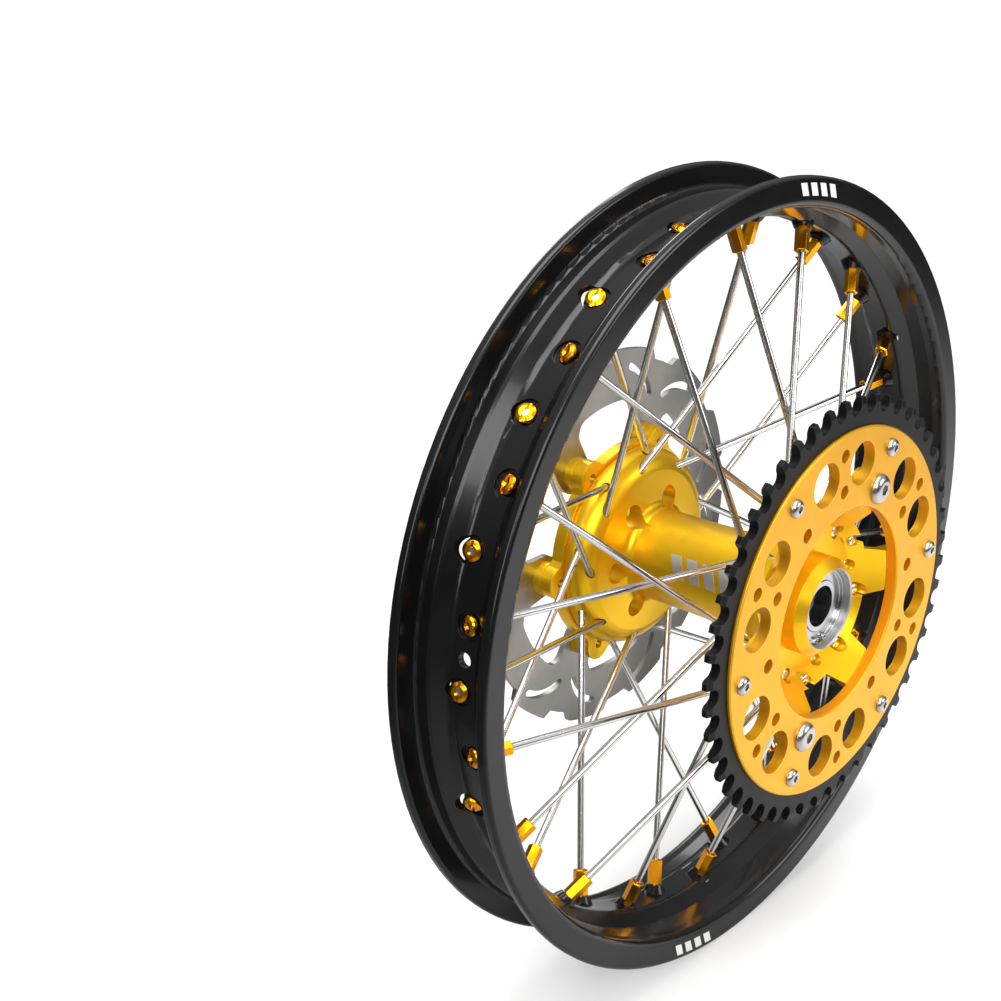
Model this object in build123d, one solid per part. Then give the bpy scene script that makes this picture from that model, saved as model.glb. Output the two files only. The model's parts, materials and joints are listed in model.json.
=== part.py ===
from build123d import *
from math import atan2, cos, pi, radians, sin
import os

# Rear wheel of an off-road motorcycle: a gold machined hub laced to an 18 inch rim with 36 spokes,
# carrying a two-piece chain sprocket and a wave brake disc, and turning on two ball bearings.
#
# Frame: the origin is the centre of the wheel. Y is the spin axis, with +Y towards the sprocket.
# Z is up and +X is forward. Angles run about +Y and start at the -X direction, so a piece drawn
# along -X and turned by an angle stays at that angle.

# ---------------------------------------------------------------- driving dimensions, in mm
# rim
RIM_RADIUS = 243.4            # over the flanges
RIM_WIDTH = 70.4              # over the flanges
FLANGE_THICKNESS = 7.9
FLANGE_HEIGHT = 14.0          # from the bead seat to the flange's top
FLANGE_EDGE_ROUND = 2.6
SIDEWALL_DEPTH = 18.0         # from the flange's top to the underside of the bead seat
SIDEWALL_ROUND = 4.6
WELL_SLOPE_WIDTH = 7.3        # of each slope between the well's floor and its bead seat
WELL_DEPTH = 8.9              # from the bead seat down to the well floor
WELL_FLOOR_WIDTH = 20.0
WELL_ROUND = 6.0              # between the well's floor and its slopes
BEAD_ROUND = 2.5              # between the bead seat and the flange
RIM_WALL = 4.0
BOSS_HEIGHT = 3.4             # how far a spoke boss stands out of the rim's inner side
BOSS_RADIUS = 9.0
DIMPLE_RADIUS = 8.0
DIMPLE_DEPTH = 2.0
DIMPLE_DRAFT = 0.12           # how much a dimple widens for each mm of height
DIMPLE_CUT_HEIGHT = 10.0      # height of the cutter, past the slopes beside the well
VALVE_HOLE_DIAMETER = 8.5
VALVE_ANGLE = 174.6
RIM_SEAM_ANGLE = 4.6          # turns the seam of the turned rim to midway between two nipples
SEAT_CLEARANCE = 0.3          # around each nipple's head

# spokes and nipples
SPOKES_PER_ROW = 9            # two rows on each side of the wheel
SPOKE_DIAMETER = 4.2
SPOKE_HEAD_DIAMETER = 7.6
SPOKE_HEAD_HEIGHT = 2.4
SPOKE_BEND_RADIUS = 3.4
SPOKE_HOLE_DIAMETER = 5.2
SPOKE_POCKET_DIAMETER = 8.8
NIPPLE_HEAD_DIAMETER = 12.0
NIPPLE_HEAD_HEIGHT = 3.4
NIPPLE_BODY_DIAMETER = 7.4
NIPPLE_HEX = 7.8
NIPPLE_LENGTH = 25.0
NIPPLE_SEAT_SLOPE = 0.8       # height of the cone under the head, for each mm of radius
NIPPLE_SLOT_WIDTH = 1.6
NIPPLE_CHAMFER = 0.6
NIPPLE_CLEARANCE = 0.12
NIPPLE_ROUND_LENGTH = 6.0     # round part between the head and the hexagon
NIPPLE_SLOT_DEPTH = 1.6
SPOKE_TIP_REACH = 0.4         # how far a spoke's tip stands past its nipple seat
NIPPLE_MOUTH_DIAMETER = 5.4   # the wider mouth that the spoke goes into
NIPPLE_MOUTH_DEPTH = 3.0

# hub
TUBE_RADIUS = 30.0
TUBE_WAIST_RADIUS = 28.6
HUB_BORE_RADIUS = 21.0
SPROCKET_END = 86.0           # end face of the boss on the sprocket side
DISC_END = -80.0              # end face of the boss on the disc side
BOSS_CHAMFER = 5.5
SEAL_RECESS = 6.2             # from each end face to its bearing
BELL_FACE = -45.0             # outer edge of the bell's face on the disc side
BELL_FACE_RADIUS = 52.0
BELL_FACE_RISE = 3.4          # how far that face rises to the tube
BELL_ROOT_ROUND = 6.0
BELL_RADIUS = 64.0
BELL_SHOULDER = 15.0
BELL_WALL = 7.0
BELL_STEP = 0.9               # how far the skirt steps in behind the shoulder
BELL_BAND = 2.6               # how far the band between the ears stands out
LIGHTENING_COUNT = 6
LIGHTENING_RADIUS = 7.4
LIGHTENING_PITCH_RADIUS = 35.5
PATTERN_ANGLE = 4.8           # first bolt of every six-bolt pattern
EAR_THICKNESS = 8.0
FLANGE_FLOOR = 69.0           # bottom of the dished flange on the sprocket side
FLANGE_FLOOR_RADIUS = 47.0
SEAT_LAND = 1.5               # how far the hub's seat reaches in past the sprocket core's bore
WEB_THICKNESS = 8.0
LOBE_THICKNESS = 7.5
LOBE_ROOT_RADIUS = 54.0
LOBE_ROOT_HALF_WIDTH = 16.5
LOBE_TIP_RADIUS = 9.5

# bearings, 25 x 47 x 12
AXLE_RADIUS = 12.5
BEARING_RADIUS = 23.5
BEARING_WIDTH = 12.0
BALL_DIAMETER = 7.9
BALL_COUNT = 10
BALL_PITCH_RADIUS = 18.0
RACE_CLEARANCE = 0.05
INNER_LAND_RADIUS = 15.5
OUTER_LAND_RADIUS = 20.4
SHIELD_THICKNESS = 0.5
SHIELD_GAP = 0.4
CAGE_THICKNESS = 2.0
CAGE_WIDTH = 9.4
DISTANCE_TUBE_WALL = 2.6
CIRCLIP_THICKNESS = 1.5
CIRCLIP_DEPTH = 1.4
CIRCLIP_WIDTH = 3.2
CIRCLIP_EYE_RADIUS = 2.2
CIRCLIP_GAP_ANGLE = 270
BALL_POCKET_CLEARANCE = 0.03
SHIELD_DEPTH = 0.4            # from a bearing's side face to its shield

# sprocket
CHAIN_PITCH = 15.875
ROLLER_RADIUS = 5.14
TOOTH_COUNT = 49
TOOTH_TIP_RADIUS = 128.4
TOOTH_THICKNESS = 5.8
CORE_SEAT = 86.5              # where the sprocket core meets the hub
CORE_THICKNESS = 7.0
CORE_RADIUS = 111.3
CORE_BOLT_MARGIN = 11.5       # from the bolt circle in to the core's bore
CORE_LIP = 2.2                # thickness of the core in front of the toothed ring
RING_SPIGOT_RADIUS = 105.0    # the core's shoulder that centres the toothed ring
RING_LUG_REACH = 12.0
RING_LUG_WIDTH = 21.0
RING_LUG_ROUND = 5.0
TOOTH_CHAMFER = 1.3           # depth of the slope on each side of a tooth, at its tip
FIT_CLEARANCE = 0.05
EDGE_CHAMFER = 0.8
SPROCKET_PCD = 150.0
SPROCKET_BOLT_HOLE = 8.5
SPROCKET_BOLT_DIAMETER = 8.0
SPROCKET_BOLT_ANGLES = (64.8, 244.8)
RING_BOLT_PITCH_RADIUS = 100.0
RING_BOLT_DIAMETER = 6.0
RING_NUT_WIDTH = 10.0
RING_NUT_HEIGHT = 5.0
LARGE_HOLE_RADIUS = 13.0
LARGE_HOLE_PITCH_RADIUS = 90.2
LARGE_HOLE_SPREAD = 12.0
SMALL_HOLE_RADIUS = 4.1
SMALL_HOLE_PITCH_RADII = (77.0, 99.0)

# brake disc
DISC_FACE = -76.0             # where the disc meets the hub's posts
DISC_THICKNESS = 4.0
DISC_RADIUS = 123.0
DISC_BAND_INNER_RADIUS = 90.7
WAVE_COUNT = 12
WAVE_DEPTH = 6.0
WAVE_FLOOR_HALF_ANGLE = 4.7
WAVE_TOP_HALF_ANGLE = 7.0
DISC_BOLT_PITCH_RADIUS = 66.5
DISC_BOLT_HOLE = 6.4
DISC_BOLT_DIAMETER = 6.0
DISC_BOLT_ENGAGEMENT = 11.5   # length of thread in each post
DISC_PAD_RADIUS = 13.5
DISC_ARM_HALF_WIDTH = 16.5    # where an arm joins the band
DISC_ARM_ROUND = 9.0
POST_RADIUS = 10.5
POST_FRONT = -61.8            # front face of the ears that carry the posts
POST_GROOVE_WIDTH = 0.8       # the groove behind each ear
POST_GROOVE_DEPTH = 0.8
SLOT_WIDTH = 5.0
DISC_SLOTS = (                # start, middle and end of each curved slot, as (radius, angle)
    ((98.0, -5.6), (107.5, -11.6), (113.5, -19.5)),
    ((95.0, 3.2), (104.8, 8.8), (111.5, 16.8)),
)

# button heads: radius, height and width of the key's socket
SMALL_BUTTON_HEAD = (5.4, 3.2, 4.0)
LARGE_BUTTON_HEAD = (9.0, 4.2, 6.0)
DISC_BUTTON_HEAD = (5.6, 3.2, 4.0)

# ---------------------------------------------------------------- derived sizes
HALF_WIDTH = RIM_WIDTH / 2
BEAD_RADIUS = RIM_RADIUS - FLANGE_HEIGHT
BEAD_SEAT_WIDTH = HALF_WIDTH - FLANGE_THICKNESS - WELL_FLOOR_WIDTH / 2 - WELL_SLOPE_WIDTH
WELL_RADIUS = BEAD_RADIUS - WELL_DEPTH
SIX = [PATTERN_ANGLE + 60 * k for k in range(6)]
ROW_STEP = 360 / SPOKES_PER_ROW
PITCH_RADIUS = CHAIN_PITCH / (2 * sin(pi / TOOTH_COUNT))
CORE_FACE = CORE_SEAT + CORE_THICKNESS
CORE_BORE_RADIUS = SPROCKET_PCD / 2 - CORE_BOLT_MARGIN
SEAT_INNER_RADIUS = CORE_BORE_RADIUS - SEAT_LAND
RING_FRONT = CORE_FACE - CORE_LIP
BEARING_CENTRES = {
    "sprocket_side": SPROCKET_END - SEAL_RECESS - BEARING_WIDTH / 2,
    "disc_side": DISC_END + SEAL_RECESS + BEARING_WIDTH / 2,
}

# The four rows of spokes. hub is (radius, angle, y) of the point where the straight part of the first
# spoke starts, and rim is the angle and y of its nipple. A bent spoke's head sits on the flange at
# head_y; a straight spoke's head sits head_back behind its start, inside the bell.
ROWS = {
    "disc_trailing": dict(hub=(57.0, 17.0, -47.5), rim=(-20.4, -3.3), head_back=15.0),
    "disc_leading": dict(hub=(62.6, 6.0, -53.5), rim=(39.6, -5.9), head_back=15.0),
    "sprocket_leading": dict(hub=(45.5, 10.0, 57.5), rim=(49.6, 1.0), head_y=FLANGE_FLOOR - 2.8),
    "sprocket_trailing": dict(hub=(50.8, 31.0, 63.5), rim=(-10.4, 3.4), head_y=FLANGE_FLOOR + 2.0),
}


# ---------------------------------------------------------------- helpers
def at(radius, angle, y):
    """The point at a radius and angle about the axle."""
    return Vector(-radius * cos(radians(angle)), y, radius * sin(radians(angle)))


def layer(y):
    """A drawing plane across the axle, facing the sprocket side, on which angle 0 is local +X."""
    return Plane(origin=(0, y, 0), x_dir=(-1, 0, 0), z_dir=(0, 1, 0))


def polar(radius, angle):
    """A point on a drawing plane."""
    return (radius * cos(radians(angle)), radius * sin(radians(angle)))


def turned(*points):
    """A solid turned about the axle from (radius, y) points."""
    return revolve(Polygon(*points, align=None), Axis.Y)


def ring(inner, outer, y0, y1):
    """A plain ring about the axle."""
    return turned((inner, y0), (outer, y0), (outer, y1), (inner, y1))


def disc(radius, y0, y1):
    """A plain round solid on the axle."""
    return extrude(layer(min(y0, y1)) * Circle(radius), abs(y1 - y0))


def around(shape, angles):
    """Copies of a shape turned about the axle."""
    return [Rot(0, angle, 0) * shape for angle in angles]


def rod(start, end, radius):
    """A round bar between two points."""
    run = end - start
    return extrude(Plane(origin=start, z_dir=run) * Circle(radius), run.length)


def cone_between(start, end, start_radius, end_radius):
    """A cone between two points."""
    run = end - start
    plane = Plane(origin=start, z_dir=run)
    return plane * Cone(start_radius, end_radius, run.length, align=(Align.CENTER, Align.CENTER, Align.MIN))


def six_of(sketch):
    """Six copies of a sketch, one at each bolt of the six-bolt pattern."""
    return Sketch() + [Rot(0, 0, angle) * sketch for angle in SIX]


def button_bolt(face, radius, thread_radius, grip, head_radius, head_height, key, outward=1):
    """A button-head bolt at a radius on the -X side, with its head standing on a face."""
    foot = Vector(-radius, face, 0)
    up = Vector(0, outward, 0)
    rim_height = head_height * 0.25
    crown_radius = head_radius * 0.55
    side = Polyline((crown_radius, head_height), (0, head_height), (0, 0), (head_radius, 0),
                    (head_radius, rim_height))
    dome = ThreePointArc((head_radius, rim_height), (head_radius * 0.86, head_height * 0.72),
                         (crown_radius, head_height))
    head = Plane(origin=foot, z_dir=up) * revolve(Plane.XZ * make_face(side + dome), Axis.Z)
    key_plane = Plane(origin=foot + up * (head_height * 0.35), z_dir=up)
    socket = extrude(key_plane * RegularPolygon(key / 2, 6, major_radius=False), head_height)
    return head + rod(foot - up * grip, foot, thread_radius) - socket


# ---------------------------------------------------------------- spoke geometry
def row_lines(name):
    """Start of the straight part, nipple seat and direction of a row's first spoke."""
    row = ROWS[name]
    start = at(*row["hub"])
    seat = at(WELL_RADIUS, row["rim"][0], row["rim"][1])
    return start, seat, (seat - start).normalized()


def row_angles():
    return [ROW_STEP * k for k in range(SPOKES_PER_ROW)]


def spoke(name):
    """The first spoke of a row."""
    start, seat, along = row_lines(name)
    tip = seat + along * SPOKE_TIP_REACH
    row = ROWS[name]
    if "head_back" in row:
        head = start - along * row["head_back"]
        path = Line(head, tip)
        head_axis = along
    else:
        head = Vector(start.X, row["head_y"], start.Z)
        path = FilletPolyline(head, start, tip, radius=SPOKE_BEND_RADIUS)
        head_axis = Vector(0, -1, 0)
    wire = sweep(Plane(origin=head, z_dir=head_axis) * Circle(SPOKE_DIAMETER / 2), path=path)
    crown = extrude(Circle(SPOKE_HEAD_DIAMETER / 2), SPOKE_HEAD_HEIGHT)
    crown = fillet(crown.edges().sort_by(Axis.Z)[-1], SPOKE_HEAD_HEIGHT * 0.7)
    return wire + Plane(origin=head, z_dir=-head_axis) * crown


def nipple(name):
    """The first nipple of a row: slotted head, round neck and hexagonal body."""
    _, seat, along = row_lines(name)
    plane = Plane(origin=seat, z_dir=along)
    head_radius = NIPPLE_HEAD_DIAMETER / 2
    neck = NIPPLE_BODY_DIAMETER / 2
    under = -NIPPLE_HEAD_HEIGHT / 2
    top = NIPPLE_HEAD_HEIGHT / 2
    neck_end = under - NIPPLE_ROUND_LENGTH - 1.0
    profile = Polygon(
        (0, top), (head_radius * 0.62, top), (head_radius * 0.92, top * 0.42), (head_radius, -0.2),
        (head_radius, under), (neck, under - (head_radius - neck) * NIPPLE_SEAT_SLOPE), (neck, neck_end),
        (0, neck_end), align=None,
    )
    turned_part = revolve(Plane.XZ * profile, Axis.Z)
    hex_length = NIPPLE_LENGTH - NIPPLE_HEAD_HEIGHT - NIPPLE_ROUND_LENGTH
    end = under - NIPPLE_ROUND_LENGTH - hex_length
    hexagon = RegularPolygon(NIPPLE_HEX / 2, 6, major_radius=False)
    body = extrude(Plane.XY.offset(end) * hexagon, hex_length)
    body = chamfer(body.faces().sort_by(Axis.Z)[0].edges(), NIPPLE_CHAMFER)
    slot = Pos(0, 0, top) * Box(NIPPLE_HEAD_DIAMETER, NIPPLE_SLOT_WIDTH, 2 * NIPPLE_SLOT_DEPTH)
    bore = Cylinder(SPOKE_DIAMETER / 2, 3 * NIPPLE_LENGTH)
    mouth = Pos(0, 0, end) * Cylinder(NIPPLE_MOUTH_DIAMETER / 2, 2 * NIPPLE_MOUTH_DEPTH)
    return plane * (turned_part + body - slot - bore - mouth)


# ---------------------------------------------------------------- rim
def rim_section():
    """The rim's section as a face in the XY plane, where X is the radius."""
    bead_inner = HALF_WIDTH - FLANGE_THICKNESS
    seat_end = bead_inner - BEAD_SEAT_WIDTH
    floor = WELL_FLOOR_WIDTH / 2
    under = RIM_RADIUS - SIDEWALL_DEPTH
    half = [
        (WELL_RADIUS, 0), (WELL_RADIUS, floor), (BEAD_RADIUS - 1.6, seat_end),
        (BEAD_RADIUS - 0.4, seat_end + 1.6), (BEAD_RADIUS, bead_inner),
        (RIM_RADIUS, bead_inner + 0.9), (RIM_RADIUS, HALF_WIDTH),
        (under, HALF_WIDTH), (under, bead_inner - 1.0), (under - 1.6, seat_end),
        (WELL_RADIUS - RIM_WALL, floor - 1.5), (WELL_RADIUS - RIM_WALL, 0),
    ]
    section = Polygon(*half, align=None)
    corners = section.vertices()

    def near(radius, y):
        return corners.sort_by_distance((radius, y, 0))[0]

    section = fillet([near(RIM_RADIUS, bead_inner + 0.9), near(RIM_RADIUS, HALF_WIDTH)], FLANGE_EDGE_ROUND)
    section = fillet(section.vertices().sort_by_distance((under, HALF_WIDTH, 0))[0], SIDEWALL_ROUND)
    bead_round = min(BEAD_ROUND, BEAD_SEAT_WIDTH / 4)
    section = fillet(section.vertices().sort_by_distance((BEAD_RADIUS, bead_inner, 0))[0], bead_round)
    section = fillet(section.vertices().sort_by_distance((WELL_RADIUS, floor, 0))[0], WELL_ROUND)
    section = fillet(section.vertices().sort_by_distance((WELL_RADIUS - RIM_WALL, floor - 1.5, 0))[0],
                     WELL_ROUND - 1.0)
    return section + mirror(section, about=Plane.XZ)


def inside_wall():
    """The space within the middle of the well's wall, which trims the foot of each boss."""
    floor_end = WELL_FLOOR_WIDTH / 2 - 0.75
    slope_end = HALF_WIDTH - FLANGE_THICKNESS - BEAD_SEAT_WIDTH
    floor = WELL_RADIUS - RIM_WALL / 2
    top = (BEAD_RADIUS + RIM_RADIUS - SIDEWALL_DEPTH) / 2 - 1.6
    return turned((0, -slope_end), (top, -slope_end), (floor, -floor_end), (floor, floor_end),
                  (top, slope_end), (0, slope_end))


def rim():
    """The turned rim with its bosses, dimples and nipple seats."""
    shape = Rot(0, RIM_SEAM_ANGLE, 0) * revolve(rim_section(), Axis.Y)
    head_radius = NIPPLE_HEAD_DIAMETER / 2
    neck = NIPPLE_BODY_DIAMETER / 2
    cone_length = (head_radius - neck) * NIPPLE_SEAT_SLOPE
    for name in ROWS:
        _, seat, along = row_lines(name)
        end = seat - along * (RIM_WALL + BOSS_HEIGHT)
        boss = cone_between(seat + along * 2.0, end, BOSS_RADIUS, BOSS_RADIUS * 0.62) & inside_wall()
        shape += around(boss, row_angles())
    for name in ROWS:
        _, seat, along = row_lines(name)
        outward = Vector(seat.X, 0, seat.Z).normalized()
        floor = seat - outward * DIMPLE_DEPTH
        under = seat - along * (NIPPLE_HEAD_HEIGHT / 2)
        end = seat - along * (RIM_WALL + BOSS_HEIGHT)
        cuts = [
            cone_between(floor, floor + outward * DIMPLE_CUT_HEIGHT, DIMPLE_RADIUS,
                         DIMPLE_RADIUS + DIMPLE_CUT_HEIGHT * DIMPLE_DRAFT),
            rod(under, under + along * DIMPLE_CUT_HEIGHT, head_radius + SEAT_CLEARANCE),
            cone_between(under - along * cone_length, under, neck, head_radius),
            rod(end - along * BOSS_HEIGHT * 2, seat, neck + NIPPLE_CLEARANCE),
        ]
        for cut in cuts:
            shape -= around(cut, row_angles())
    valve = rod(at(WELL_RADIUS - 2 * RIM_WALL, VALVE_ANGLE, 0), at(RIM_RADIUS, VALVE_ANGLE, 0),
                VALVE_HOLE_DIAMETER / 2)
    return shape - valve


# ---------------------------------------------------------------- hub
def hub_body():
    """The turned shape of the hub: both bosses, the tube, the bell and the dished flange."""
    floor_back = FLANGE_FLOOR - WEB_THICKNESS
    seat_back = CORE_SEAT - LOBE_THICKNESS
    lobe_end = SPROCKET_PCD / 2 + LOBE_TIP_RADIUS + 1.0
    shaft = turned(
        (HUB_BORE_RADIUS, DISC_END), (TUBE_RADIUS - 1.0, DISC_END), (TUBE_RADIUS - 1.0, BELL_FACE - 2.0),
        (TUBE_WAIST_RADIUS, BELL_FACE + 2.0), (TUBE_WAIST_RADIUS, -10.0), (TUBE_RADIUS, 40.0),
        (TUBE_RADIUS, SPROCKET_END - BOSS_CHAMFER), (TUBE_RADIUS - BOSS_CHAMFER, SPROCKET_END),
        (HUB_BORE_RADIUS, SPROCKET_END),
    )
    flange = turned(
        (TUBE_RADIUS - 4, floor_back - 6.0), (TUBE_RADIUS, floor_back - 6.0), (TUBE_RADIUS + 7, floor_back),
        (FLANGE_FLOOR_RADIUS + 0.9, floor_back), (FLANGE_FLOOR_RADIUS + 1.2, floor_back + 5.2),
        (FLANGE_FLOOR_RADIUS + 5.0, floor_back + 7.0), (SEAT_INNER_RADIUS + 0.5, seat_back),
        (lobe_end, seat_back), (lobe_end, CORE_SEAT), (SEAT_INNER_RADIUS, CORE_SEAT),
        (FLANGE_FLOOR_RADIUS, FLANGE_FLOOR), (TUBE_RADIUS - 4, FLANGE_FLOOR),
    )
    lobe = Polygon(polar(0, 0), (LOBE_ROOT_RADIUS * 0.9, -LOBE_ROOT_HALF_WIDTH),
                   (SPROCKET_PCD / 2, -LOBE_TIP_RADIUS), (SPROCKET_PCD / 2, LOBE_TIP_RADIUS),
                   (LOBE_ROOT_RADIUS * 0.9, LOBE_ROOT_HALF_WIDTH), align=None)
    lobe += Pos(SPROCKET_PCD / 2, 0) * Circle(LOBE_TIP_RADIUS)
    star = Circle(LOBE_ROOT_RADIUS) + six_of(lobe)
    flange &= extrude(layer(floor_back - 10) * star, CORE_SEAT - floor_back + 12)
    return shaft + flange


def on_post(y):
    """The point at y on the axis of the first disc post."""
    return Vector(-DISC_BOLT_PITCH_RADIUS, y, 0)


def hub_bell():
    """The hollow bell on the disc side with its ears and disc posts."""
    back = POST_FRONT - EAR_THICKNESS
    shoulder_back = BELL_FACE - BELL_SHOULDER
    face_root = BELL_FACE + BELL_FACE_RISE
    outer = Line((TUBE_RADIUS - 4, face_root), (BELL_FACE_RADIUS, BELL_FACE))
    reach = BELL_RADIUS - BELL_FACE_RADIUS
    arc_radius = (reach ** 2 + BELL_SHOULDER ** 2) / (2 * reach)
    centre = (BELL_RADIUS - arc_radius, shoulder_back)
    mid_angle = atan2(BELL_FACE - centre[1], BELL_FACE_RADIUS - centre[0]) / 2
    mid = (centre[0] + arc_radius * cos(mid_angle), centre[1] + arc_radius * sin(mid_angle))
    shoulder = ThreePointArc((BELL_FACE_RADIUS, BELL_FACE), mid, (BELL_RADIUS, shoulder_back))
    cavity_radius = BELL_RADIUS - BELL_WALL - 1.0
    step_radius = BELL_RADIUS - BELL_STEP
    band_radius = BELL_RADIUS + BELL_BAND
    inner = Polyline(
        (BELL_RADIUS, shoulder_back), (BELL_RADIUS, shoulder_back - 0.6), (step_radius, shoulder_back - 0.6),
        (step_radius, POST_FRONT), (band_radius, POST_FRONT), (band_radius, back),
        (cavity_radius, back), (cavity_radius, BELL_FACE - 2 * BELL_WALL),
        (BELL_FACE_RADIUS - BELL_WALL * 0.6, BELL_FACE - BELL_WALL),
        (TUBE_RADIUS - 4, BELL_FACE - BELL_WALL), (TUBE_RADIUS - 4, face_root),
    )
    bell = revolve(make_face(outer + shoulder + inner), Axis.Y)
    root_radius = TUBE_WAIST_RADIUS + BELL_ROOT_ROUND
    slope = BELL_FACE_RISE / (BELL_FACE_RADIUS - TUBE_RADIUS + 4)
    root_face = face_root - slope * (root_radius - TUBE_RADIUS + 4)
    root = Polygon((TUBE_WAIST_RADIUS - 2, root_face - 3), (root_radius, root_face - 3),
                   (root_radius, root_face), (TUBE_WAIST_RADIUS, root_face + BELL_ROOT_ROUND),
                   (TUBE_WAIST_RADIUS - 2, root_face + BELL_ROOT_ROUND), align=None)
    root -= Pos(root_radius, root_face + BELL_ROOT_ROUND) * Circle(BELL_ROOT_ROUND)
    bell += revolve(root, Axis.Y)
    ear_root = BELL_RADIUS - 5
    ear_end = DISC_BOLT_PITCH_RADIUS + 1.5
    ear = Polygon((ear_root, -POST_RADIUS * 1.9), (ear_end, -POST_RADIUS), (ear_end, POST_RADIUS),
                  (ear_root, POST_RADIUS * 1.9), align=None)
    ear += Pos(DISC_BOLT_PITCH_RADIUS, 0) * Circle(POST_RADIUS)
    cavity = disc(cavity_radius, BELL_FACE - 2 * BELL_WALL, DISC_END - 1)
    post = rod(on_post(POST_FRONT), on_post(DISC_FACE), POST_RADIUS)
    ears = extrude(layer(back) * six_of(ear), EAR_THICKNESS)
    groove = rod(on_post(back), on_post(back - POST_GROOVE_WIDTH), POST_RADIUS + 2)
    groove -= rod(on_post(back + 1), on_post(back - POST_GROOVE_WIDTH - 1), POST_RADIUS - POST_GROOVE_DEPTH)
    ears = ears + around(post, SIX) - cavity - around(groove, SIX)
    return bell + ears


def hub_cuts():
    """Every drilled hole in the hub, as groups of equal holes."""
    cuts = []
    for name, row in ROWS.items():
        start, _, along = row_lines(name)
        hole_radius = SPOKE_HOLE_DIAMETER / 2
        pocket_radius = SPOKE_POCKET_DIAMETER / 2
        if "head_back" in row:
            head = start - along * row["head_back"]
            cuts.append(around(rod(head - along * 2.0, start + along * 8.0, hole_radius), row_angles()))
            cuts.append(around(rod(head - along * BELL_WALL, head, pocket_radius), row_angles()))
        else:
            head = Vector(start.X, row["head_y"], start.Z)
            cuts.append(around(rod(start, head + Vector(0, 1, 0), hole_radius), row_angles()))
            cuts.append(around(rod(head, head + Vector(0, 9, 0), pocket_radius), row_angles()))
    window = rod(Vector(-LIGHTENING_PITCH_RADIUS, BELL_FACE + 14, 0),
                 Vector(-LIGHTENING_PITCH_RADIUS, BELL_FACE - BELL_WALL - 2, 0), LIGHTENING_RADIUS)
    window_angles = [PATTERN_ANGLE + 360 / LIGHTENING_COUNT * k for k in range(LIGHTENING_COUNT)]
    sprocket_thread = rod(Vector(-SPROCKET_PCD / 2, CORE_SEAT + 1, 0),
                          Vector(-SPROCKET_PCD / 2, CORE_SEAT - LOBE_THICKNESS - 1, 0),
                          SPROCKET_BOLT_DIAMETER / 2)
    disc_thread = rod(on_post(POST_FRONT + 1), on_post(DISC_FACE - 1), DISC_BOLT_DIAMETER / 2)
    return cuts + [around(window, window_angles), around(sprocket_thread, SIX), around(disc_thread, SIX)]


def hub():
    shape = hub_body() + hub_bell()
    for side, centre in BEARING_CENTRES.items():
        mouth = SPROCKET_END if side == "sprocket_side" else DISC_END
        inner_end = centre - BEARING_WIDTH / 2 if mouth > 0 else centre + BEARING_WIDTH / 2
        shape -= disc(BEARING_RADIUS, inner_end, mouth)
    groove = circlip_y()
    shape -= disc(BEARING_RADIUS + CIRCLIP_DEPTH, groove, groove + CIRCLIP_THICKNESS)
    mouth_start = SPROCKET_END - EDGE_CHAMFER
    mouth_radius = BEARING_RADIUS + EDGE_CHAMFER
    shape -= turned((0, mouth_start), (BEARING_RADIUS, mouth_start), (mouth_radius, SPROCKET_END),
                    (mouth_radius, SPROCKET_END + 1), (0, SPROCKET_END + 1))
    for group in hub_cuts():
        shape -= group
    return shape


# ---------------------------------------------------------------- bearings
def circlip_y():
    """Inner face of the circlip that holds the bearing on the sprocket side."""
    return BEARING_CENTRES["sprocket_side"] + BEARING_WIDTH / 2


def circlip():
    """An open internal ring with two eyes for the pliers."""
    y = circlip_y()
    outer = BEARING_RADIUS + CIRCLIP_DEPTH
    sketch = Circle(outer) - Circle(outer - CIRCLIP_WIDTH)
    gap_sides = [polar(2 * outer, CIRCLIP_GAP_ANGLE + side * 8) for side in (-1, 1)]
    sketch -= Polygon(polar(0, 0), *gap_sides, align=None)
    eyes = [Pos(*polar(outer - CIRCLIP_WIDTH - 0.4, CIRCLIP_GAP_ANGLE + side * 12)) for side in (-1, 1)]
    sketch += [eye * Circle(CIRCLIP_EYE_RADIUS) for eye in eyes]
    sketch -= [eye * Circle(CIRCLIP_EYE_RADIUS * 0.41) for eye in eyes]
    return extrude(layer(y) * sketch, CIRCLIP_THICKNESS)


def race_groove():
    """The torus in which the balls run, clear of them by the race clearance."""
    section = Pos(BALL_PITCH_RADIUS, 0) * Circle(BALL_DIAMETER / 2 + RACE_CLEARANCE)
    return revolve(section, Axis.Y)


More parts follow.
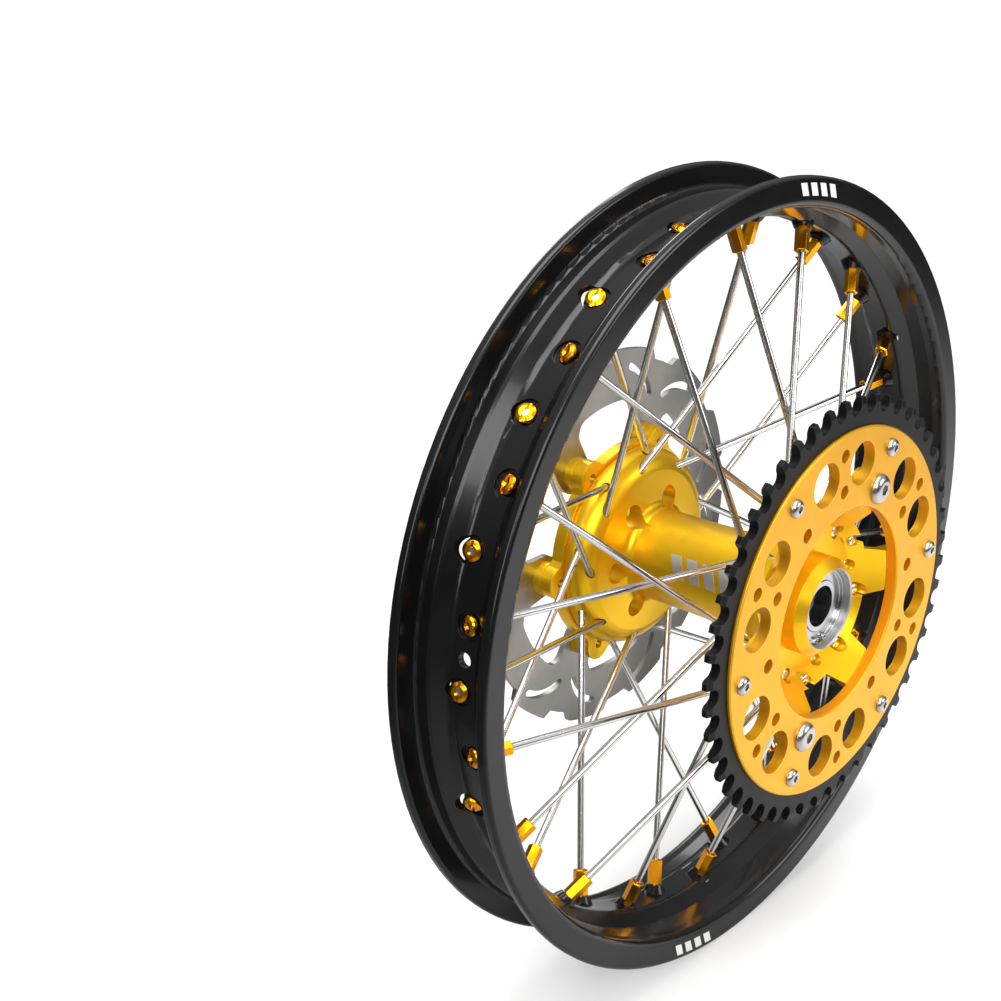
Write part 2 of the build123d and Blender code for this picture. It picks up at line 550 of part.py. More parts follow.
def bearing(side):
    """The pieces of one bearing by name."""
    y = BEARING_CENTRES[side]
    half = BEARING_WIDTH / 2
    inner = ring(AXLE_RADIUS, INNER_LAND_RADIUS, -half, half) - race_groove()
    outer = ring(OUTER_LAND_RADIUS, BEARING_RADIUS, -half, half) - race_groove()
    ball_angles = [360 / BALL_COUNT * k for k in range(BALL_COUNT)]
    ball = Pos(-BALL_PITCH_RADIUS, 0, 0) * Sphere(BALL_DIAMETER / 2)
    pocket = Pos(-BALL_PITCH_RADIUS, 0, 0) * Sphere(BALL_DIAMETER / 2 + BALL_POCKET_CLEARANCE)
    cage = ring(BALL_PITCH_RADIUS - CAGE_THICKNESS / 2, BALL_PITCH_RADIUS + CAGE_THICKNESS / 2,
                -CAGE_WIDTH / 2, CAGE_WIDTH / 2)
    cage -= around(pocket, ball_angles)
    shield_y = half - SHIELD_THICKNESS - SHIELD_DEPTH
    shield = ring(INNER_LAND_RADIUS + SHIELD_GAP, OUTER_LAND_RADIUS, shield_y, shield_y + SHIELD_THICKNESS)
    shields = Compound([shield, mirror(shield, about=Plane.XZ)])
    pieces = {
        f"bearing_inner_ring_{side}": inner,
        f"bearing_outer_ring_{side}": outer,
        f"bearing_balls_{side}": Compound(around(ball, ball_angles)),
        f"bearing_cage_{side}": cage,
        f"bearing_shields_{side}": shields,
    }
    return {name: Pos(0, y, 0) * piece for name, piece in pieces.items()}


def distance_tube():
    """The tube that keeps the two inner rings apart."""
    start = BEARING_CENTRES["disc_side"] + BEARING_WIDTH / 2
    end = BEARING_CENTRES["sprocket_side"] - BEARING_WIDTH / 2
    return ring(AXLE_RADIUS, AXLE_RADIUS + DISTANCE_TUBE_WALL, start, end)


# ---------------------------------------------------------------- sprocket
def ring_lugs(clearance=0.0):
    """The lugs of the toothed ring, as sketches; a clearance makes their pockets."""
    depth = RING_LUG_REACH + clearance
    width = RING_LUG_WIDTH + 2 * clearance
    inner = RING_SPIGOT_RADIUS - depth
    lug = Pos((inner + RING_SPIGOT_RADIUS + 2) / 2, 0) * Rectangle(depth + 2, width)
    lug = fillet(lug.vertices().sort_by(Axis.X)[:2], RING_LUG_ROUND)
    return six_of(lug)


def sprocket_core():
    plate = extrude(layer(CORE_SEAT) * (Circle(CORE_RADIUS) - Circle(CORE_BORE_RADIUS)), CORE_THICKNESS)
    plate = chamfer(plate.faces().sort_by(Axis.Y)[-1].edges(), EDGE_CHAMFER)
    step = Circle(CORE_RADIUS + 5) - Circle(RING_SPIGOT_RADIUS)
    plate -= extrude(layer(CORE_SEAT - 1) * step, CORE_THICKNESS - CORE_LIP + 1)
    plate -= extrude(layer(CORE_SEAT - 1) * ring_lugs(FIT_CLEARANCE), CORE_THICKNESS - CORE_LIP + 1)
    holes = []
    for angle in SIX:
        holes.append(Pos(*polar(SPROCKET_PCD / 2, angle)) * Circle(SPROCKET_BOLT_HOLE / 2))
        holes.append(Pos(*polar(RING_BOLT_PITCH_RADIUS, angle)) * Circle(RING_BOLT_DIAMETER / 2))
        for side in (-1, 1):
            spot = polar(LARGE_HOLE_PITCH_RADIUS, angle + 30 + side * LARGE_HOLE_SPREAD)
            holes.append(Pos(*spot) * Circle(LARGE_HOLE_RADIUS))
        for radius in SMALL_HOLE_PITCH_RADII:
            holes.append(Pos(*polar(radius, angle + 30)) * Circle(SMALL_HOLE_RADIUS))
    return plate - extrude(layer(CORE_SEAT - 1) * (Sketch() + holes), CORE_THICKNESS + 2)


def tooth_gap():
    """The space between two teeth: a roller seat that opens outwards."""
    root = PITCH_RADIUS - 0.6
    outside = TOOTH_TIP_RADIUS + 1
    mouth = Polygon((root, -ROLLER_RADIUS + 0.05), (outside, -ROLLER_RADIUS - 1.15),
                    (outside, ROLLER_RADIUS + 1.15), (root, ROLLER_RADIUS - 0.05), align=None)
    return Pos(PITCH_RADIUS, 0) * Circle(ROLLER_RADIUS) + mouth


def sprocket_ring():
    """The toothed ring with its lugs, behind the core's lip."""
    gap = tooth_gap()
    gaps = [Rot(0, 0, 360 / TOOTH_COUNT * k) * gap for k in range(TOOTH_COUNT)]
    blank = Circle(TOOTH_TIP_RADIUS) - Circle(RING_SPIGOT_RADIUS + FIT_CLEARANCE) - gaps
    blank += ring_lugs()
    blank -= six_of(Pos(RING_BOLT_PITCH_RADIUS, 0) * Circle(RING_BOLT_DIAMETER / 2))
    shape = extrude(layer(RING_FRONT - TOOTH_THICKNESS) * blank, TOOTH_THICKNESS)
    width = TOOTH_TIP_RADIUS - PITCH_RADIUS
    start = PITCH_RADIUS + 0.5
    outside = TOOTH_TIP_RADIUS + 2
    for face, inward in ((RING_FRONT, -1), (RING_FRONT - TOOTH_THICKNESS, 1)):
        shape -= turned((start, face - inward), (outside, face - inward),
                        (outside, face + inward * TOOTH_CHAMFER * (width + 2) / width), (start, face))
    return shape


def ring_bolts():
    grip = CORE_LIP + TOOTH_THICKNESS + RING_NUT_HEIGHT + 0.5
    bolt = button_bolt(CORE_FACE, RING_BOLT_PITCH_RADIUS, RING_BOLT_DIAMETER / 2, grip, *SMALL_BUTTON_HEAD)
    return Compound(around(bolt, SIX))


def ring_nuts():
    back = RING_FRONT - TOOTH_THICKNESS
    plane = layer(back - RING_NUT_HEIGHT)
    nut = Pos(RING_BOLT_PITCH_RADIUS, 0) * RegularPolygon(RING_NUT_WIDTH / 2, 6, major_radius=False)
    nut -= Pos(RING_BOLT_PITCH_RADIUS, 0) * Circle(RING_BOLT_DIAMETER / 2)
    solid = extrude(plane * nut, RING_NUT_HEIGHT)
    return Compound(around(solid, SIX))


def sprocket_bolts():
    grip = CORE_THICKNESS + LOBE_THICKNESS
    bolt = button_bolt(CORE_FACE, SPROCKET_PCD / 2, SPROCKET_BOLT_DIAMETER / 2, grip, *LARGE_BUTTON_HEAD)
    return Compound(around(bolt, SPROCKET_BOLT_ANGLES))


# ---------------------------------------------------------------- brake disc
def brake_disc():
    band = Circle(DISC_RADIUS) - Circle(DISC_BAND_INNER_RADIUS)
    root = DISC_BAND_INNER_RADIUS + 3
    arm = Polygon((root, -DISC_ARM_HALF_WIDTH), (root, DISC_ARM_HALF_WIDTH),
                  (DISC_BOLT_PITCH_RADIUS, DISC_PAD_RADIUS), (DISC_BOLT_PITCH_RADIUS, -DISC_PAD_RADIUS),
                  align=None)
    arm += Pos(DISC_BOLT_PITCH_RADIUS, 0) * Circle(DISC_PAD_RADIUS)
    outline = band + six_of(arm)
    corners = [v for v in outline.vertices() if abs(Vector(v).length - DISC_BAND_INNER_RADIUS) < 0.01]
    outline = fillet(corners, DISC_ARM_ROUND)
    floor = DISC_RADIUS - WAVE_DEPTH
    notch = Polygon(polar(floor, -WAVE_FLOOR_HALF_ANGLE), polar(DISC_RADIUS + 1, -WAVE_TOP_HALF_ANGLE),
                    polar(DISC_RADIUS + 8, 0), polar(DISC_RADIUS + 1, WAVE_TOP_HALF_ANGLE),
                    polar(floor, WAVE_FLOOR_HALF_ANGLE), polar(floor, 0), align=None)
    outline -= [Rot(0, 0, PATTERN_ANGLE + 360 / WAVE_COUNT * k) * notch for k in range(WAVE_COUNT)]
    slots = []
    for start, middle, end in DISC_SLOTS:
        arc = ThreePointArc(polar(*start), polar(*middle), polar(*end))
        slots.append(SlotArc(arc, SLOT_WIDTH))
    outline -= six_of(Sketch() + slots)
    outline -= six_of(Pos(DISC_BOLT_PITCH_RADIUS, 0) * Circle(DISC_BOLT_HOLE / 2))
    return extrude(layer(DISC_FACE - DISC_THICKNESS) * outline, DISC_THICKNESS)


def disc_bolts():
    grip = DISC_THICKNESS + DISC_BOLT_ENGAGEMENT
    bolt = button_bolt(DISC_FACE - DISC_THICKNESS, DISC_BOLT_PITCH_RADIUS, DISC_BOLT_DIAMETER / 2, grip,
                       *DISC_BUTTON_HEAD, outward=-1)
    return Compound(around(bolt, SIX))


# ---------------------------------------------------------------- all pieces, one STEP file each
def pieces():
    made = {
        "rim": rim(),
        "hub": hub(),
        "brake_disc": brake_disc(),
        "disc_bolts": disc_bolts(),
        "sprocket_core": sprocket_core(),
        "sprocket_ring": sprocket_ring(),
        "ring_bolts": ring_bolts(),
        "ring_nuts": ring_nuts(),
        "sprocket_bolts": sprocket_bolts(),
        "distance_tube": distance_tube(),
        "bearing_circlip": circlip(),
    }
    for side in BEARING_CENTRES:
        made.update(bearing(side))
    for name in ROWS:
        made[f"spokes_{name}"] = Compound(around(spoke(name), row_angles()))
        made[f"nipples_{name}"] = Compound(around(nipple(name), row_angles()))
    return made


os.makedirs("parts", exist_ok=True)
for node, shape in pieces().items():
    export_step(shape, f"parts/{node}.step")
    print(node, round(shape.volume / 1000, 2), "cm3")
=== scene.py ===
# %% [markdown]
# # A gold and black spoked rear wheel
#
# The wheel is already a working assembly: rim, hub, spokes, sprocket, brake disc and bearings come in as
# a fixed frame, each at its real place. What is left to do here is what a paint shop and a photographer
# would do: give every piece its finish, add the small marks, and light it in a bright white studio.

# %% Load the frame
import json
from math import cos, radians, sin

import bmesh
import bpy
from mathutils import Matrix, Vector
from mathutils.bvhtree import BVHTree


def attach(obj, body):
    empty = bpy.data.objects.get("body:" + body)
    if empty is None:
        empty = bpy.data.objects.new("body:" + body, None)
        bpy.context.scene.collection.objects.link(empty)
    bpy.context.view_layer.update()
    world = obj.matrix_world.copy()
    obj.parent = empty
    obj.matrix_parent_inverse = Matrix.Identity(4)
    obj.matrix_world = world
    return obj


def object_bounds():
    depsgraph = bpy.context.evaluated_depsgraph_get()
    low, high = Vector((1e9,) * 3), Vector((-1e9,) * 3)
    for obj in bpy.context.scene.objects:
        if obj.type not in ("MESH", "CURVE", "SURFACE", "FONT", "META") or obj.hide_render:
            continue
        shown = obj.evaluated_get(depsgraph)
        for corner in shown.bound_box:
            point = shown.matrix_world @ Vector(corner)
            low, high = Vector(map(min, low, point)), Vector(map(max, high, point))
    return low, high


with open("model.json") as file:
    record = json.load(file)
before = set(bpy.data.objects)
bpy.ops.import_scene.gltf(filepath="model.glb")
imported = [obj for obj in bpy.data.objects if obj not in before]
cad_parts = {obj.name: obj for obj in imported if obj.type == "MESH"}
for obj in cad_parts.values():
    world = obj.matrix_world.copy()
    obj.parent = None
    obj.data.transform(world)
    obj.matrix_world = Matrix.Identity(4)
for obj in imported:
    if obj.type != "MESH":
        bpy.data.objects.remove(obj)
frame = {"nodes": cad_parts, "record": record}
nodes = frame["nodes"]
cad_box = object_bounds()
print("nodes", len(nodes), "box", cad_box)

# %% [markdown]
# ## The camera
#
# A long-ish lens from a little above and to the sprocket's side shows the wheel as a tall ellipse, with
# the rim's well on one side and its inner face on the other. The camera stands at a given point and is
# turned by two angles, because those are the numbers that a photographer thinks in.

# %% Camera
CAMERA_PLACE = Vector((0.8159, 0.5568, 0.4332))
CAMERA_AZIMUTH = radians(131.72)     # from -Y, turning towards +X
CAMERA_ELEVATION = radians(21.60)
LENS_MM = 62.9

backwards = Vector((
    sin(CAMERA_AZIMUTH) * cos(CAMERA_ELEVATION),
    -cos(CAMERA_AZIMUTH) * cos(CAMERA_ELEVATION),
    sin(CAMERA_ELEVATION),
))
camera = bpy.data.objects.new("camera", bpy.data.cameras.new("camera"))
camera.location = CAMERA_PLACE
camera.rotation_euler = (-backwards).to_track_quat("-Z", "Y").to_euler()
camera.data.lens = LENS_MM
camera.data.sensor_width = 36.0
camera.data.clip_start = 0.01
bpy.context.collection.objects.link(camera)
bpy.context.scene.camera = camera
print("camera is", round(CAMERA_PLACE.length, 3), "m from the wheel's centre")

# %% [markdown]
# ## Node helpers
#
# Materials here are graphs of nodes. Writing `tree.nodes.new(...)` and `tree.links.new(...)` for each
# one buries the idea under bookkeeping, so two small helpers add a node with its settings and join
# sockets in one line. A third starts a node group with named inputs and outputs.


# %% Helpers
def add(tree, kind, settings=None, **inputs):
    """A new node with its properties set and its inputs either set or linked."""
    node = tree.nodes.new(kind)
    for name, value in (settings or {}).items():
        setattr(node, name, value)
    for name, value in inputs.items():
        socket = node.inputs[int(name[1:])] if name[0] == "i" and name[1:].isdigit() else node.inputs[name]
        if isinstance(value, bpy.types.NodeSocket):
            tree.links.new(value, socket)
        else:
            socket.default_value = value
    return node


def maths(tree, operation, first, second=0.0, clamp=False):
    """The result of a Math node on two values."""
    node = add(tree, "ShaderNodeMath", {"operation": operation, "use_clamp": clamp}, i0=first, i1=second)
    return node.outputs[0]


def blend_colour(tree, factor, first, second):
    """The result of a colour Mix node."""
    node = add(tree, "ShaderNodeMix", {"data_type": "RGBA"}, i0=factor, i6=first, i7=second)
    return node.outputs[2]


def spread(tree, value, low, high, new_low=0.0, new_high=1.0):
    """A value moved from one range to another and kept inside it."""
    node = add(tree, "ShaderNodeMapRange", {"clamp": True}, i0=value, i1=low, i2=high, i3=new_low,
               i4=new_high)
    return node.outputs[0]


def new_group(name, inputs, outputs):
    """An empty node group with float or colour sockets, and its two end nodes."""
    group = bpy.data.node_groups.new(name, "ShaderNodeTree")
    kinds = {float: "NodeSocketFloat", tuple: "NodeSocketColor", Vector: "NodeSocketVector"}
    for label, value in inputs.items():
        socket = group.interface.new_socket(label, in_out="INPUT", socket_type=kinds[type(value)])
        socket.default_value = value
    for label, kind in outputs.items():
        group.interface.new_socket(label, in_out="OUTPUT", socket_type=kinds[kind])
    start = group.nodes.new("NodeGroupInput")
    end = group.nodes.new("NodeGroupOutput")
    return group, start.outputs, end.inputs


# %% [markdown]
# ## Two effects that most finishes share
#
# Every machined piece has two things in common. Its surface isn't perfectly even: there are faint
# cloudy patches in the gloss and a fine grain. And its edges are broken by a tiny chamfer that catches
# the light. Both are node groups, built once and placed in each material with values of its own. The
# second also gives a mask of the edges, which some finishes use to paint a lighter colour there, a painted
# highlight. The first reads object coordinates, so the pattern stays put on the metal when the wheel turns.


# %% Surface unevenness
def surface_group():
    """Cloudy patches, fine grain and turning lines around the axle."""
    group, given, out = new_group(
        "uneven_surface",
        {"Grain scale": 2500.0, "Cloud scale": 30.0, "Turning lines": 0.0, "Line pitch": 2200.0},
        {"Grain": float, "Clouds": float, "Height": float},
    )
    place = add(group, "ShaderNodeTexCoord").outputs["Object"]
    grain = add(group, "ShaderNodeTexNoise", Vector=place, Scale=given["Grain scale"], Detail=2.0).outputs[0]
    clouds = add(group, "ShaderNodeTexNoise", Vector=place, Scale=given["Cloud scale"], Detail=4.0).outputs[0]
    split = add(group, "ShaderNodeSeparateXYZ", Vector=place).outputs
    radius = maths(group, "SQRT", maths(group, "ADD", maths(group, "MULTIPLY", split[0], split[0]),
                                        maths(group, "MULTIPLY", split[2], split[2])))
    along = maths(group, "ADD", radius, split[1])
    lathe = add(group, "ShaderNodeTexNoise", {"noise_dimensions": "1D"},
                W=maths(group, "MULTIPLY", along, given["Line pitch"]), Scale=1.0, Detail=2.0).outputs[0]
    lines = maths(group, "MULTIPLY", lathe, given["Turning lines"])
    group.links.new(grain, out["Grain"])
    group.links.new(clouds, out["Clouds"])
    group.links.new(maths(group, "ADD", grain, lines), out["Height"])
    return group


# %% Broken edges
EDGE_STARTS = 0.999                  # the cosine between the rounded normal and the face's own
EDGE_FULL = 0.93


def edge_group():
    """A rounded normal over sharp edges, and a mask of where those edges are."""
    group, given, out = new_group(
        "broken_edges",
        {"Radius": 0.0004},
        {"Normal": Vector, "Edge": float},
    )
    rounded = add(group, "ShaderNodeBevel", {"samples": 6}, Radius=given["Radius"]).outputs[0]
    facing = add(group, "ShaderNodeNewGeometry").outputs["Normal"]
    dot = add(group, "ShaderNodeVectorMath", {"operation": "DOT_PRODUCT"}, i0=rounded, i1=facing)
    group.links.new(rounded, out["Normal"])
    group.links.new(spread(group, dot.outputs["Value"], EDGE_STARTS, EDGE_FULL), out["Edge"])
    return group


SURFACE = surface_group()
EDGES = edge_group()
print("groups", [group.name for group in (SURFACE, EDGES)])

# %% [markdown]
# ## Anodised aluminium and the other finishes
#
# Anodising dyes a thin layer of oxide, so the metal under it still gives coloured reflections. The
# Principled shader does this with a high Metallic and the dye as its base colour. A satin face also
# scatters some light by itself, and a Metallic a little under 1 gives that. Where the layer is thicker the
# colour is deeper, so soft clouds blend two close golds. One function makes every finish, because they
# differ only in colour, gloss, grain and edges.


# %% One function for metals
GLOSS_SPREAD = 0.06                  # how much the clouds change the roughness
BUMP_HEIGHT = 0.0002
COAT_ROUGHNESS = 0.06


def metal(name, colour, deep, roughness, metallic=1.0, grain=0.02, scale=2500.0, lines=0.0, edge=0.0004,
          edge_highlight_colour=None, coat=0.0, specular=0.5):
    """A finish: two tones, an uneven gloss, a fine grain and broken edges, with an optional painted highlight
    on them.
    """
    material = bpy.data.materials.new(name)
    material.use_nodes = True
    tree = material.node_tree
    shader = tree.nodes["Principled BSDF"]
    surface = add(tree, "ShaderNodeGroup", {"node_tree": SURFACE})
    surface.inputs["Grain scale"].default_value = scale
    surface.inputs["Turning lines"].default_value = lines
    edges = add(tree, "ShaderNodeGroup", {"node_tree": EDGES})
    edges.inputs["Radius"].default_value = edge
    tone = spread(tree, surface.outputs["Clouds"], 0.3, 0.7)
    paint = blend_colour(tree, tone, (*deep, 1), (*colour, 1))
    # Painted highlight: a lighter colour painted along the sharp edges.
    if edge_highlight_colour:
        paint = blend_colour(tree, edges.outputs["Edge"], paint, (*edge_highlight_colour, 1))
    gloss = maths(tree, "MULTIPLY_ADD", surface.outputs["Clouds"], GLOSS_SPREAD)
    gloss.node.inputs[2].default_value = roughness - GLOSS_SPREAD / 2
    bump = add(tree, "ShaderNodeBump", Strength=grain, Distance=BUMP_HEIGHT, Height=surface.outputs["Height"],
               Normal=edges.outputs["Normal"])
    tree.links.new(paint, shader.inputs["Base Color"])
    tree.links.new(gloss, shader.inputs["Roughness"])
    tree.links.new(bump.outputs[0], shader.inputs["Normal"])
    shader.inputs["Metallic"].default_value = metallic
    shader.inputs["Coat Weight"].default_value = coat
    shader.inputs["Coat Roughness"].default_value = COAT_ROUGHNESS
    shader.inputs["Specular IOR Level"].default_value = specular
    return material


# %% [markdown]
# ## The finishes of this wheel
#
# The golds are not one gold: the hub is a bright yellow with a satin gloss, the sprocket's plate is a
# flatter and browner gold, and the nipples are small, glossy and more orange. The rim is so deep a black
# that only its gloss shows, so it has a thin clear coat and no metal colour. The toothed ring is blackened
# steel. The disc is ground in circles, and the spokes are drawn stainless wire. The plate, nipples, teeth,
# disc, bolts and bearings carry a lighter colour on their sharp edges, a painted highlight.

# %% Make the finishes
gold_hub = metal("gold_hub", (0.98, 0.60, 0.012), (0.93, 0.52, 0.008), 0.34, metallic=0.8, lines=0.6,
                 grain=0.03)
gold_plate = metal("gold_plate", (0.84, 0.42, 0.012), (0.78, 0.37, 0.010), 0.40, metallic=0.75, grain=0.03,
                   edge_highlight_colour=(0.98, 0.64, 0.08))
gold_nipple = metal("gold_nipple", (0.90, 0.38, 0.006), (0.82, 0.31, 0.004), 0.22, grain=0.02, edge=0.0003,
                    edge_highlight_colour=(1.0, 0.58, 0.05))
black_rim = metal("black_rim", (0.006, 0.006, 0.0065), (0.004, 0.004, 0.0045), 0.20, metallic=0.0, grain=0.01,
                  edge=0.0005, coat=0.12, specular=0.28)
black_teeth = metal("black_teeth", (0.007, 0.007, 0.0075), (0.004, 0.004, 0.0045), 0.38, metallic=0.0,
                    grain=0.06, scale=1800.0, edge=0.0004, edge_highlight_colour=(0.035, 0.035, 0.04), specular=0.12)
disc_steel = metal("disc_steel", (0.42, 0.405, 0.38), (0.33, 0.32, 0.30), 0.34, lines=1.6, grain=0.06,
                   scale=1500.0, edge=0.0002, edge_highlight_colour=(0.55, 0.54, 0.52))
spoke_steel = metal("spoke_steel", (0.74, 0.73, 0.71), (0.66, 0.65, 0.63), 0.20, grain=0.02, edge=0.0002)
bolt_steel = metal("bolt_steel", (0.50, 0.49, 0.47), (0.42, 0.41, 0.39), 0.24, grain=0.03, edge=0.0003,
                   edge_highlight_colour=(0.92, 0.91, 0.89))
bearing_steel = metal("bearing_steel", (0.50, 0.50, 0.51), (0.42, 0.42, 0.43), 0.17, lines=0.8, grain=0.03,
                      edge=0.0003, edge_highlight_colour=(0.9, 0.9, 0.9))
plain_aluminium = metal("plain_aluminium", (0.80, 0.80, 0.81), (0.72, 0.72, 0.73), 0.30, lines=0.8,
                        grain=0.03)
print_white = metal("print_white", (0.86, 0.86, 0.85), (0.78, 0.78, 0.77), 0.45, metallic=0.0, grain=0.05)
etched_silver = metal("etched_silver", (0.86, 0.84, 0.78), (0.78, 0.76, 0.70), 0.42, grain=0.06,
                      scale=1500.0)
cage_plastic = metal("cage_plastic", (0.30, 0.16, 0.05), (0.26, 0.13, 0.04), 0.5, metallic=0.0, grain=0.03)

FINISHES = {
    "black_rim": black_rim, "gold_hub": gold_hub, "gold_plate": gold_plate, "gold_nipple": gold_nipple,
    "spoke_steel": spoke_steel, "disc_steel": disc_steel, "black_teeth": black_teeth,
    "bolt_steel": bolt_steel, "bearing_steel": bearing_steel, "plain_aluminium": plain_aluminium,
    "cage_plastic": cage_plastic,
}

# %% [markdown]
# ## Bare metal in the hub's mouth
#
# The bearing seat is cut after the hub has been anodised, so it is bare, bright aluminium. A mask in the
# hub's own material shows it: everything nearer to the axle than the seat's edge and close to the end face.

# %% Bare seat
BARE_RADIUS = 0.0246
BARE_FROM = 0.070
BARE_COLOUR = (0.48, 0.48, 0.49, 1)
hub_tree = gold_hub.node_tree
here = add(hub_tree, "ShaderNodeTexCoord").outputs["Object"]
place = add(hub_tree, "ShaderNodeSeparateXYZ", Vector=here).outputs
across = maths(hub_tree, "SQRT", maths(hub_tree, "ADD", maths(hub_tree, "MULTIPLY", place[0], place[0]),
                                       maths(hub_tree, "MULTIPLY", place[2], place[2])))
near_axle = maths(hub_tree, "LESS_THAN", across, BARE_RADIUS)
near_end = maths(hub_tree, "GREATER_THAN", place[1], BARE_FROM)
bare = maths(hub_tree, "MULTIPLY", near_axle, near_end)
hub_shader = hub_tree.nodes["Principled BSDF"]
gold_paint = hub_shader.inputs["Base Color"].links[0].from_socket
hub_tree.links.new(blend_colour(hub_tree, bare, gold_paint, BARE_COLOUR), hub_shader.inputs["Base Color"])
print("bare metal inside", BARE_RADIUS, "m from the axle")

# %% Put each finish on its nodes
for subpart in frame["record"]["subparts"]:
    node = nodes[subpart["node"]]
    node.data.materials.clear()
    node.data.materials.append(FINISHES[subpart["material_slot"]])
print("finished", len(nodes), "nodes with", len(FINISHES), "materials")

# %% [markdown]
# ## The marks
#
# A wheel like this carries printed marks on the rim's side and an etched one on the hub's tube. Here they
# are four plain slanted bars each. Ink on a turned surface is a very thin solid, so each bar is a grid of
# points found by casting rays at the metal, lifted a hair and closed all round. The rays make the bars
# follow the real surface, whatever its taper, with no fitting by hand.

# %% A bar that lies on a surface
PRINT_HEIGHT = 0.00006
BAR_COUNT = 4


def surface_of(node_name):
    """A tree of a node's triangles to cast rays at."""
    return BVHTree.FromObject(nodes[node_name], bpy.context.evaluated_depsgraph_get())


def lay_bar(mesh, surface, aim, steps):
    """One thin closed bar; aim(u, v) gives the start and the direction of each ray."""
    top, bottom = [], []
    for i in range(steps + 1):
        for j in range(steps + 1):
            start, toward = aim(i / steps, j / steps)
            place, normal, _, _ = surface.ray_cast(start, toward)
            top.append(mesh.verts.new(place + normal * PRINT_HEIGHT))
            bottom.append(mesh.verts.new(place - normal * PRINT_HEIGHT))
    row = steps + 1
    for i in range(steps):
        for j in range(steps):
            corner = i * row + j
            square = (corner, corner + row, corner + row + 1, corner + 1)
            mesh.faces.new([top[k] for k in square])
            mesh.faces.new([bottom[k] for k in reversed(square)])
    border = list(range(row))
    border += [i * row + steps for i in range(1, row)]
    border += [steps * row + j for j in range(steps - 1, -1, -1)]
    border += [i * row for i in range(steps - 1, 0, -1)]
    for here, there in zip(border, border[1:] + border[:1]):
        mesh.faces.new([top[here], top[there], bottom[there], bottom[here]])


def finish_marks(name, mesh, material):
    """The finished piece, riding on the wheel."""
    bmesh.ops.recalc_face_normals(mesh, faces=mesh.faces)
    data = bpy.data.meshes.new(name)
    mesh.to_mesh(data)
    mesh.free()
    piece = bpy.data.objects.new(name, data)
    piece.data.materials.append(material)
    bpy.context.collection.objects.link(piece)
    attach(piece, "wheel")
    print(name, len(data.polygons), "faces")
    return piece


# %% Marks on the rim's side
RIM_MARK_ANGLES = (80.0, -102.0)     # about the axle, from the rear
RIM_MARK_RADII = (0.2322, 0.2396)
RIM_BAR_WIDTH = 0.0064
RIM_BAR_PITCH = 0.0102
RIM_BAR_SLANT = 0.0042
RIM_BAR_STEPS = 4
RIM_RAY_START = 0.1                  # along Y, clear of the rim's side
rim_surface = surface_of("rim")
rim_mesh = bmesh.new()
for mark_angle in RIM_MARK_ANGLES:
    for bar in range(BAR_COUNT):
        def aim_at_rim(u, v, bar=bar, mark_angle=mark_angle):
            radius = RIM_MARK_RADII[0] + v * (RIM_MARK_RADII[1] - RIM_MARK_RADII[0])
            along = (bar - BAR_COUNT / 2) * RIM_BAR_PITCH + u * RIM_BAR_WIDTH + v * RIM_BAR_SLANT
            angle = radians(mark_angle) + along / radius
            start = Vector((-radius * cos(angle), RIM_RAY_START, radius * sin(angle)))
            return start, Vector((0, -1, 0))
        lay_bar(rim_mesh, rim_surface, aim_at_rim, RIM_BAR_STEPS)
finish_marks("rim_marks", rim_mesh, print_white)

# %% Marks on the hub's tube
HUB_MARK_ANGLE = 161.5
HUB_MARK_HALF_HEIGHT = 14.0          # degrees
HUB_MARK_START = -0.011
HUB_BAR_WIDTH = 0.0076
HUB_BAR_PITCH = 0.0116
HUB_BAR_SLANT = 0.0060
HUB_BAR_STEPS = 8
HUB_RAY_START = 0.045                # from the axle, clear of the tube
hub_surface = surface_of("hub")
hub_mesh = bmesh.new()
for bar in range(BAR_COUNT):
    def aim_at_tube(u, v, bar=bar):
        angle = radians(HUB_MARK_ANGLE + (2 * v - 1) * HUB_MARK_HALF_HEIGHT)
        y = HUB_MARK_START + bar * HUB_BAR_PITCH + u * HUB_BAR_WIDTH + v * HUB_BAR_SLANT
        outwards = Vector((-cos(angle), 0, sin(angle)))
        return outwards * HUB_RAY_START + Vector((0, y, 0)), -outwards
    lay_bar(hub_mesh, hub_surface, aim_at_tube, HUB_BAR_STEPS)
finish_marks("hub_marks", hub_mesh, etched_silver)

# %% [markdown]
# ## The studio
#
# Metal only shows what it mirrors, so an evenly white room would make it look flat. Here the wheel
# stands in a dark room with a lit ceiling and five soft boxes. The floor's own colour carries a painted pool
# of light: white near the wheel, fading to a painted dark grey further out. A product picture also has a
# pure white background, which such a room doesn't give. The Light Path node joins the two: a ray straight
# from the camera finds white, and a ray that the metal sends on finds the dark room.

# %% Floor
FLOOR_HALF = 12.0
# Painted pool of light on the floor: white around this spot, painted shade (dark grey) beyond it.
PAINTED_LIGHT_PLACE = (-0.45, 0.45, 0.0)
PAINTED_LIGHT_RADIUS = 0.35
PAINTED_SHADE_RADIUS = 1.15
PAINTED_LIGHT_WHITE = (0.80, 0.80, 0.80, 1)
PAINTED_SHADE_GREY = (0.06, 0.06, 0.06, 1)
floor_height = cad_box[0][2]
floor_mesh = bpy.data.meshes.new("floor")
floor_mesh.from_pydata(
    [(-FLOOR_HALF, -FLOOR_HALF, 0), (FLOOR_HALF, -FLOOR_HALF, 0), (FLOOR_HALF, FLOOR_HALF, 0),
     (-FLOOR_HALF, FLOOR_HALF, 0)], [], [(0, 1, 2, 3)])
floor = bpy.data.objects.new("floor", floor_mesh)
floor.location.z = floor_height
bpy.context.collection.objects.link(floor)
floor_painted_light = bpy.data.materials.new("floor_painted_light")
floor_painted_light.use_nodes = True
paint_tree = floor_painted_light.node_tree
floor_shader = paint_tree.nodes["Principled BSDF"]
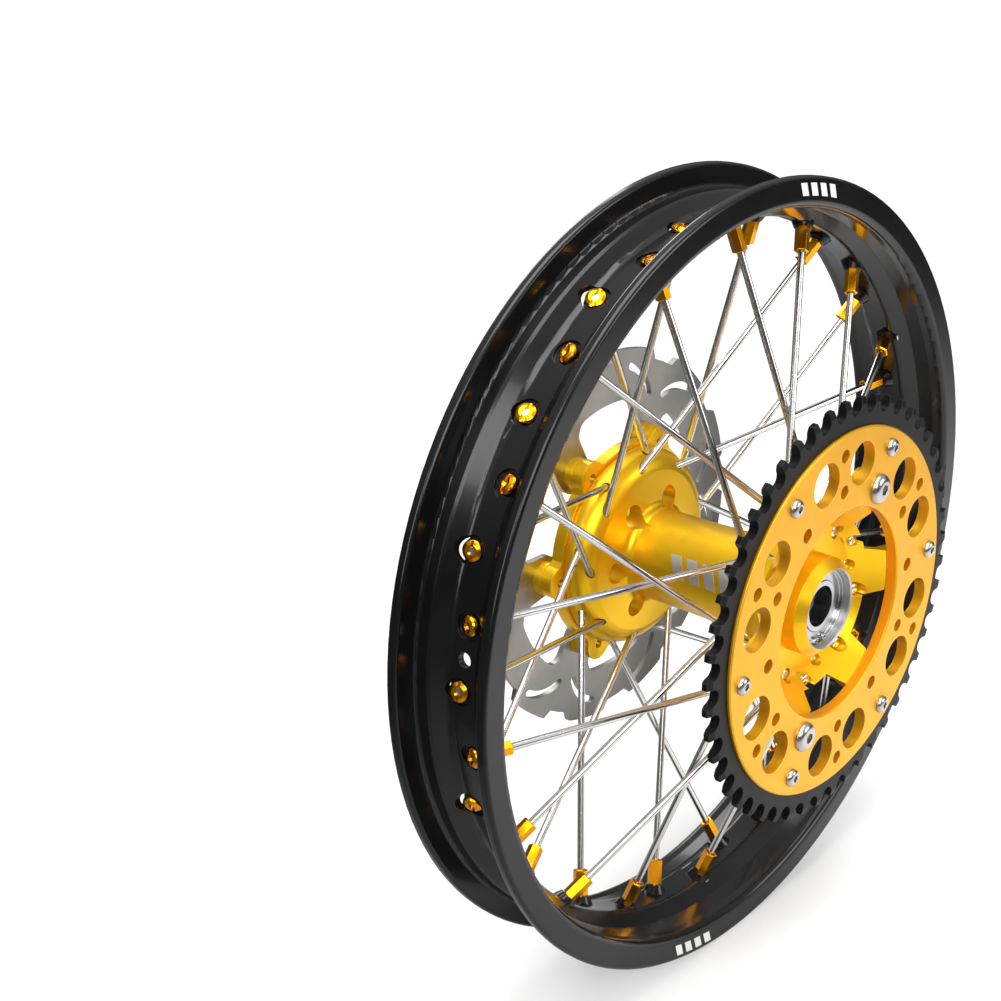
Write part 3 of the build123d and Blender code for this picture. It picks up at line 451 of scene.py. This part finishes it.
on_floor = add(paint_tree, "ShaderNodeTexCoord").outputs["Object"]
from_light = add(paint_tree, "ShaderNodeVectorMath", {"operation": "DISTANCE"}, i0=on_floor,
                 i1=PAINTED_LIGHT_PLACE).outputs["Value"]
# Painted light and shade: the floor's colour fades from white near the spot to dark grey further out.
painted_shade = spread(paint_tree, from_light, PAINTED_LIGHT_RADIUS, PAINTED_SHADE_RADIUS)
seen = add(paint_tree, "ShaderNodeLightPath").outputs["Is Camera Ray"]
glow = maths(paint_tree, "MULTIPLY", painted_shade, seen)
paint_tree.links.new(blend_colour(paint_tree, painted_shade, PAINTED_LIGHT_WHITE, PAINTED_SHADE_GREY), floor_shader.inputs["Base Color"])
paint_tree.links.new(glow, floor_shader.inputs["Emission Strength"])
floor_shader.inputs["Emission Color"].default_value = (1.0, 1.0, 1.0, 1)
floor_shader.inputs["Roughness"].default_value = 0.6
floor_shader.inputs["Specular IOR Level"].default_value = 0.1
floor_mesh.materials.append(floor_painted_light)
print("floor at", round(floor_height, 4), "m")

# %% Sky
WALL_TOP = 0.10                      # heights on a sphere of radius 1
CEILING = 0.90
WALL_LIGHT = 0.08
CEILING_LIGHT = 0.85
scene = bpy.context.scene
scene.view_settings.view_transform = "Standard"
world = bpy.data.worlds.new("studio")
scene.world = world
world.use_nodes = True
sky = world.node_tree
direction = add(sky, "ShaderNodeTexCoord").outputs["Generated"]
height = add(sky, "ShaderNodeSeparateXYZ", Vector=direction).outputs[2]
brightness = spread(sky, height, WALL_TOP, CEILING, WALL_LIGHT, CEILING_LIGHT)
looked_at = add(sky, "ShaderNodeLightPath").outputs["Is Camera Ray"]
white = add(sky, "ShaderNodeMix", {"data_type": "FLOAT"}, i0=looked_at, i2=brightness, i3=1.0).outputs[0]
sky.nodes["Background"].inputs["Color"].default_value = (1.0, 1.0, 1.0, 1)
sky.links.new(white, sky.nodes["Background"].inputs["Strength"])


# %% Soft boxes
def soft_box(name, place, size, power):
    """An area light at a place, facing the wheel's centre."""
    light = bpy.data.lights.new(name, "AREA")
    light.shape = "RECTANGLE"
    light.size, light.size_y = size
    light.energy = power
    box = bpy.data.objects.new(name, light)
    box.location = place
    box.rotation_euler = (-Vector(place)).to_track_quat("-Z", "Y").to_euler()
    bpy.context.collection.objects.link(box)
    print(name, "gives", power, "W")


soft_box("top", (0.2, 0.1, 2.0), (1.6, 1.6), 50)
soft_box("camera_side", (1.5, 1.5, 1.3), (1.5, 1.0), 30)
soft_box("sprocket_side", (-0.9, 1.7, 0.7), (1.0, 0.9), 14)
soft_box("front_low", (1.9, 0.1, 0.55), (0.5, 0.9), 8)
soft_box("disc_side", (-0.9, -1.8, 1.1), (1.2, 1.0), 18)
